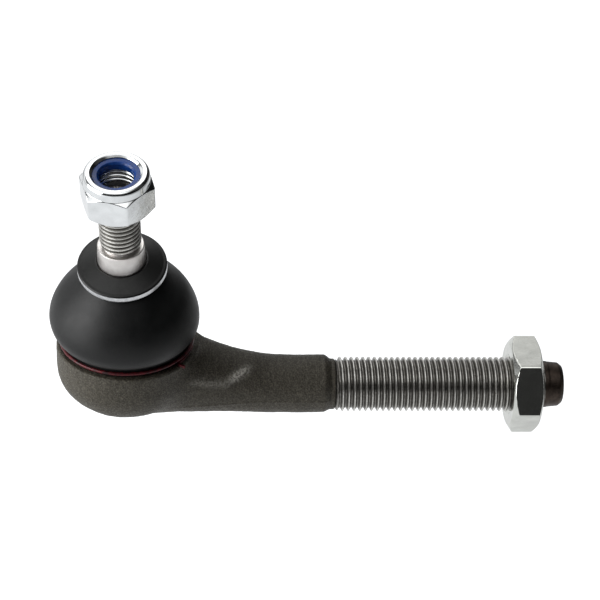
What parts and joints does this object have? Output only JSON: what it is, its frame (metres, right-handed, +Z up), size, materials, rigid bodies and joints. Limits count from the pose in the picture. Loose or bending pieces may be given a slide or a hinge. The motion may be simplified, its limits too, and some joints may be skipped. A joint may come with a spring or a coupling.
{
  "type": "tie rod end",
  "caption": "Outer tie rod end: ball stud with taper and self-locking nut leaning in a forged, booted housing whose threaded shank carries a jam nut.",
  "frame": {"origin": "where the shank's axis crosses the housing's axis", "axes": "+X along the shank away from the housing, +Z up the housing's axis towards the stud; at rest the stud leans 13 degrees from +Z, towards -Y and a little to -X"},
  "size_m": [0.1299, 0.0387, 0.0829],
  "materials": {
    "forging": "dark grey-brown phosphate on shot-blasted forged steel",
    "seat_plastic": "off-white bearing plastic",
    "spring_steel": "oiled spring steel",
    "ring_steel": "plain turned steel",
    "stud_steel": "bright ground steel",
    "boot_rubber": "black satin rubber",
    "clamp_wire": "dark red lacquered wire",
    "washer_black": "black satin coat, bright worn edge",
    "zinc_plate": "bright zinc plate",
    "blue_nylon": "blue nylon"
  },
  "bodies": {
    "housing": {"housing": "forging", "upper_seat": "seat_plastic", "lower_seat": "seat_plastic", "preload_spring": "spring_steel", "closing_ring": "ring_steel", "boot_clamp_ring": "clamp_wire"},
    "boot": {"dust_boot": "boot_rubber"},
    "boot_top": {"boot_washer": "washer_black", "boot_garter_ring": "spring_steel"},
    "ball_stud": {"ball_stud": "stud_steel"},
    "nut_ring": {"lock_nut_insert": "blue_nylon"},
    "lock_nut": {"lock_nut_body": "zinc_plate"},
    "jam_nut": {"jam_nut": "zinc_plate"}
  },
  "joints": [
    {"name": "swing_round", "type": "hinge", "parent": "housing", "child": "boot", "pos_m": [0, 0, 0.0135], "axis": [0, 0, 1], "continuous": true},
    {"name": "stud_lean", "type": "hinge", "parent": "boot", "child": "boot_top", "pos_m": [0, 0, 0.0135], "axis": [0.9863, -0.165, 0], "range_deg": [-41, 15], "deforming": ["dust_boot"]},
    {"name": "stud_spin", "type": "hinge", "parent": "boot_top", "child": "ball_stud", "pos_m": [0, 0, 0.0135], "axis": [-0.0371, -0.2219, 0.9744], "continuous": true},
    {"name": "lock_nut_travel", "type": "slide", "parent": "ball_stud", "child": "nut_ring", "axis": [-0.0371, -0.2219, 0.9744], "range_m": [-0.012, 0.00425], "deforming": ["lock_nut_insert"]},
    {"name": "lock_nut_turn", "type": "hinge", "parent": "nut_ring", "child": "lock_nut", "pos_m": [0, 0, 0.0135], "axis": [-0.0371, -0.2219, 0.9744], "range_deg": [-3456, 1224]},
    {"name": "jam_nut_travel", "type": "slide", "parent": "housing", "child": "jam_nut", "axis": [1, 0, 0], "range_m": [-0.044, 0.008]}
  ],
  "couplings": [
    {"joint": "lock_nut_travel", "follows": "lock_nut_turn", "m_per_rad": 0.00019894}
  ]
}
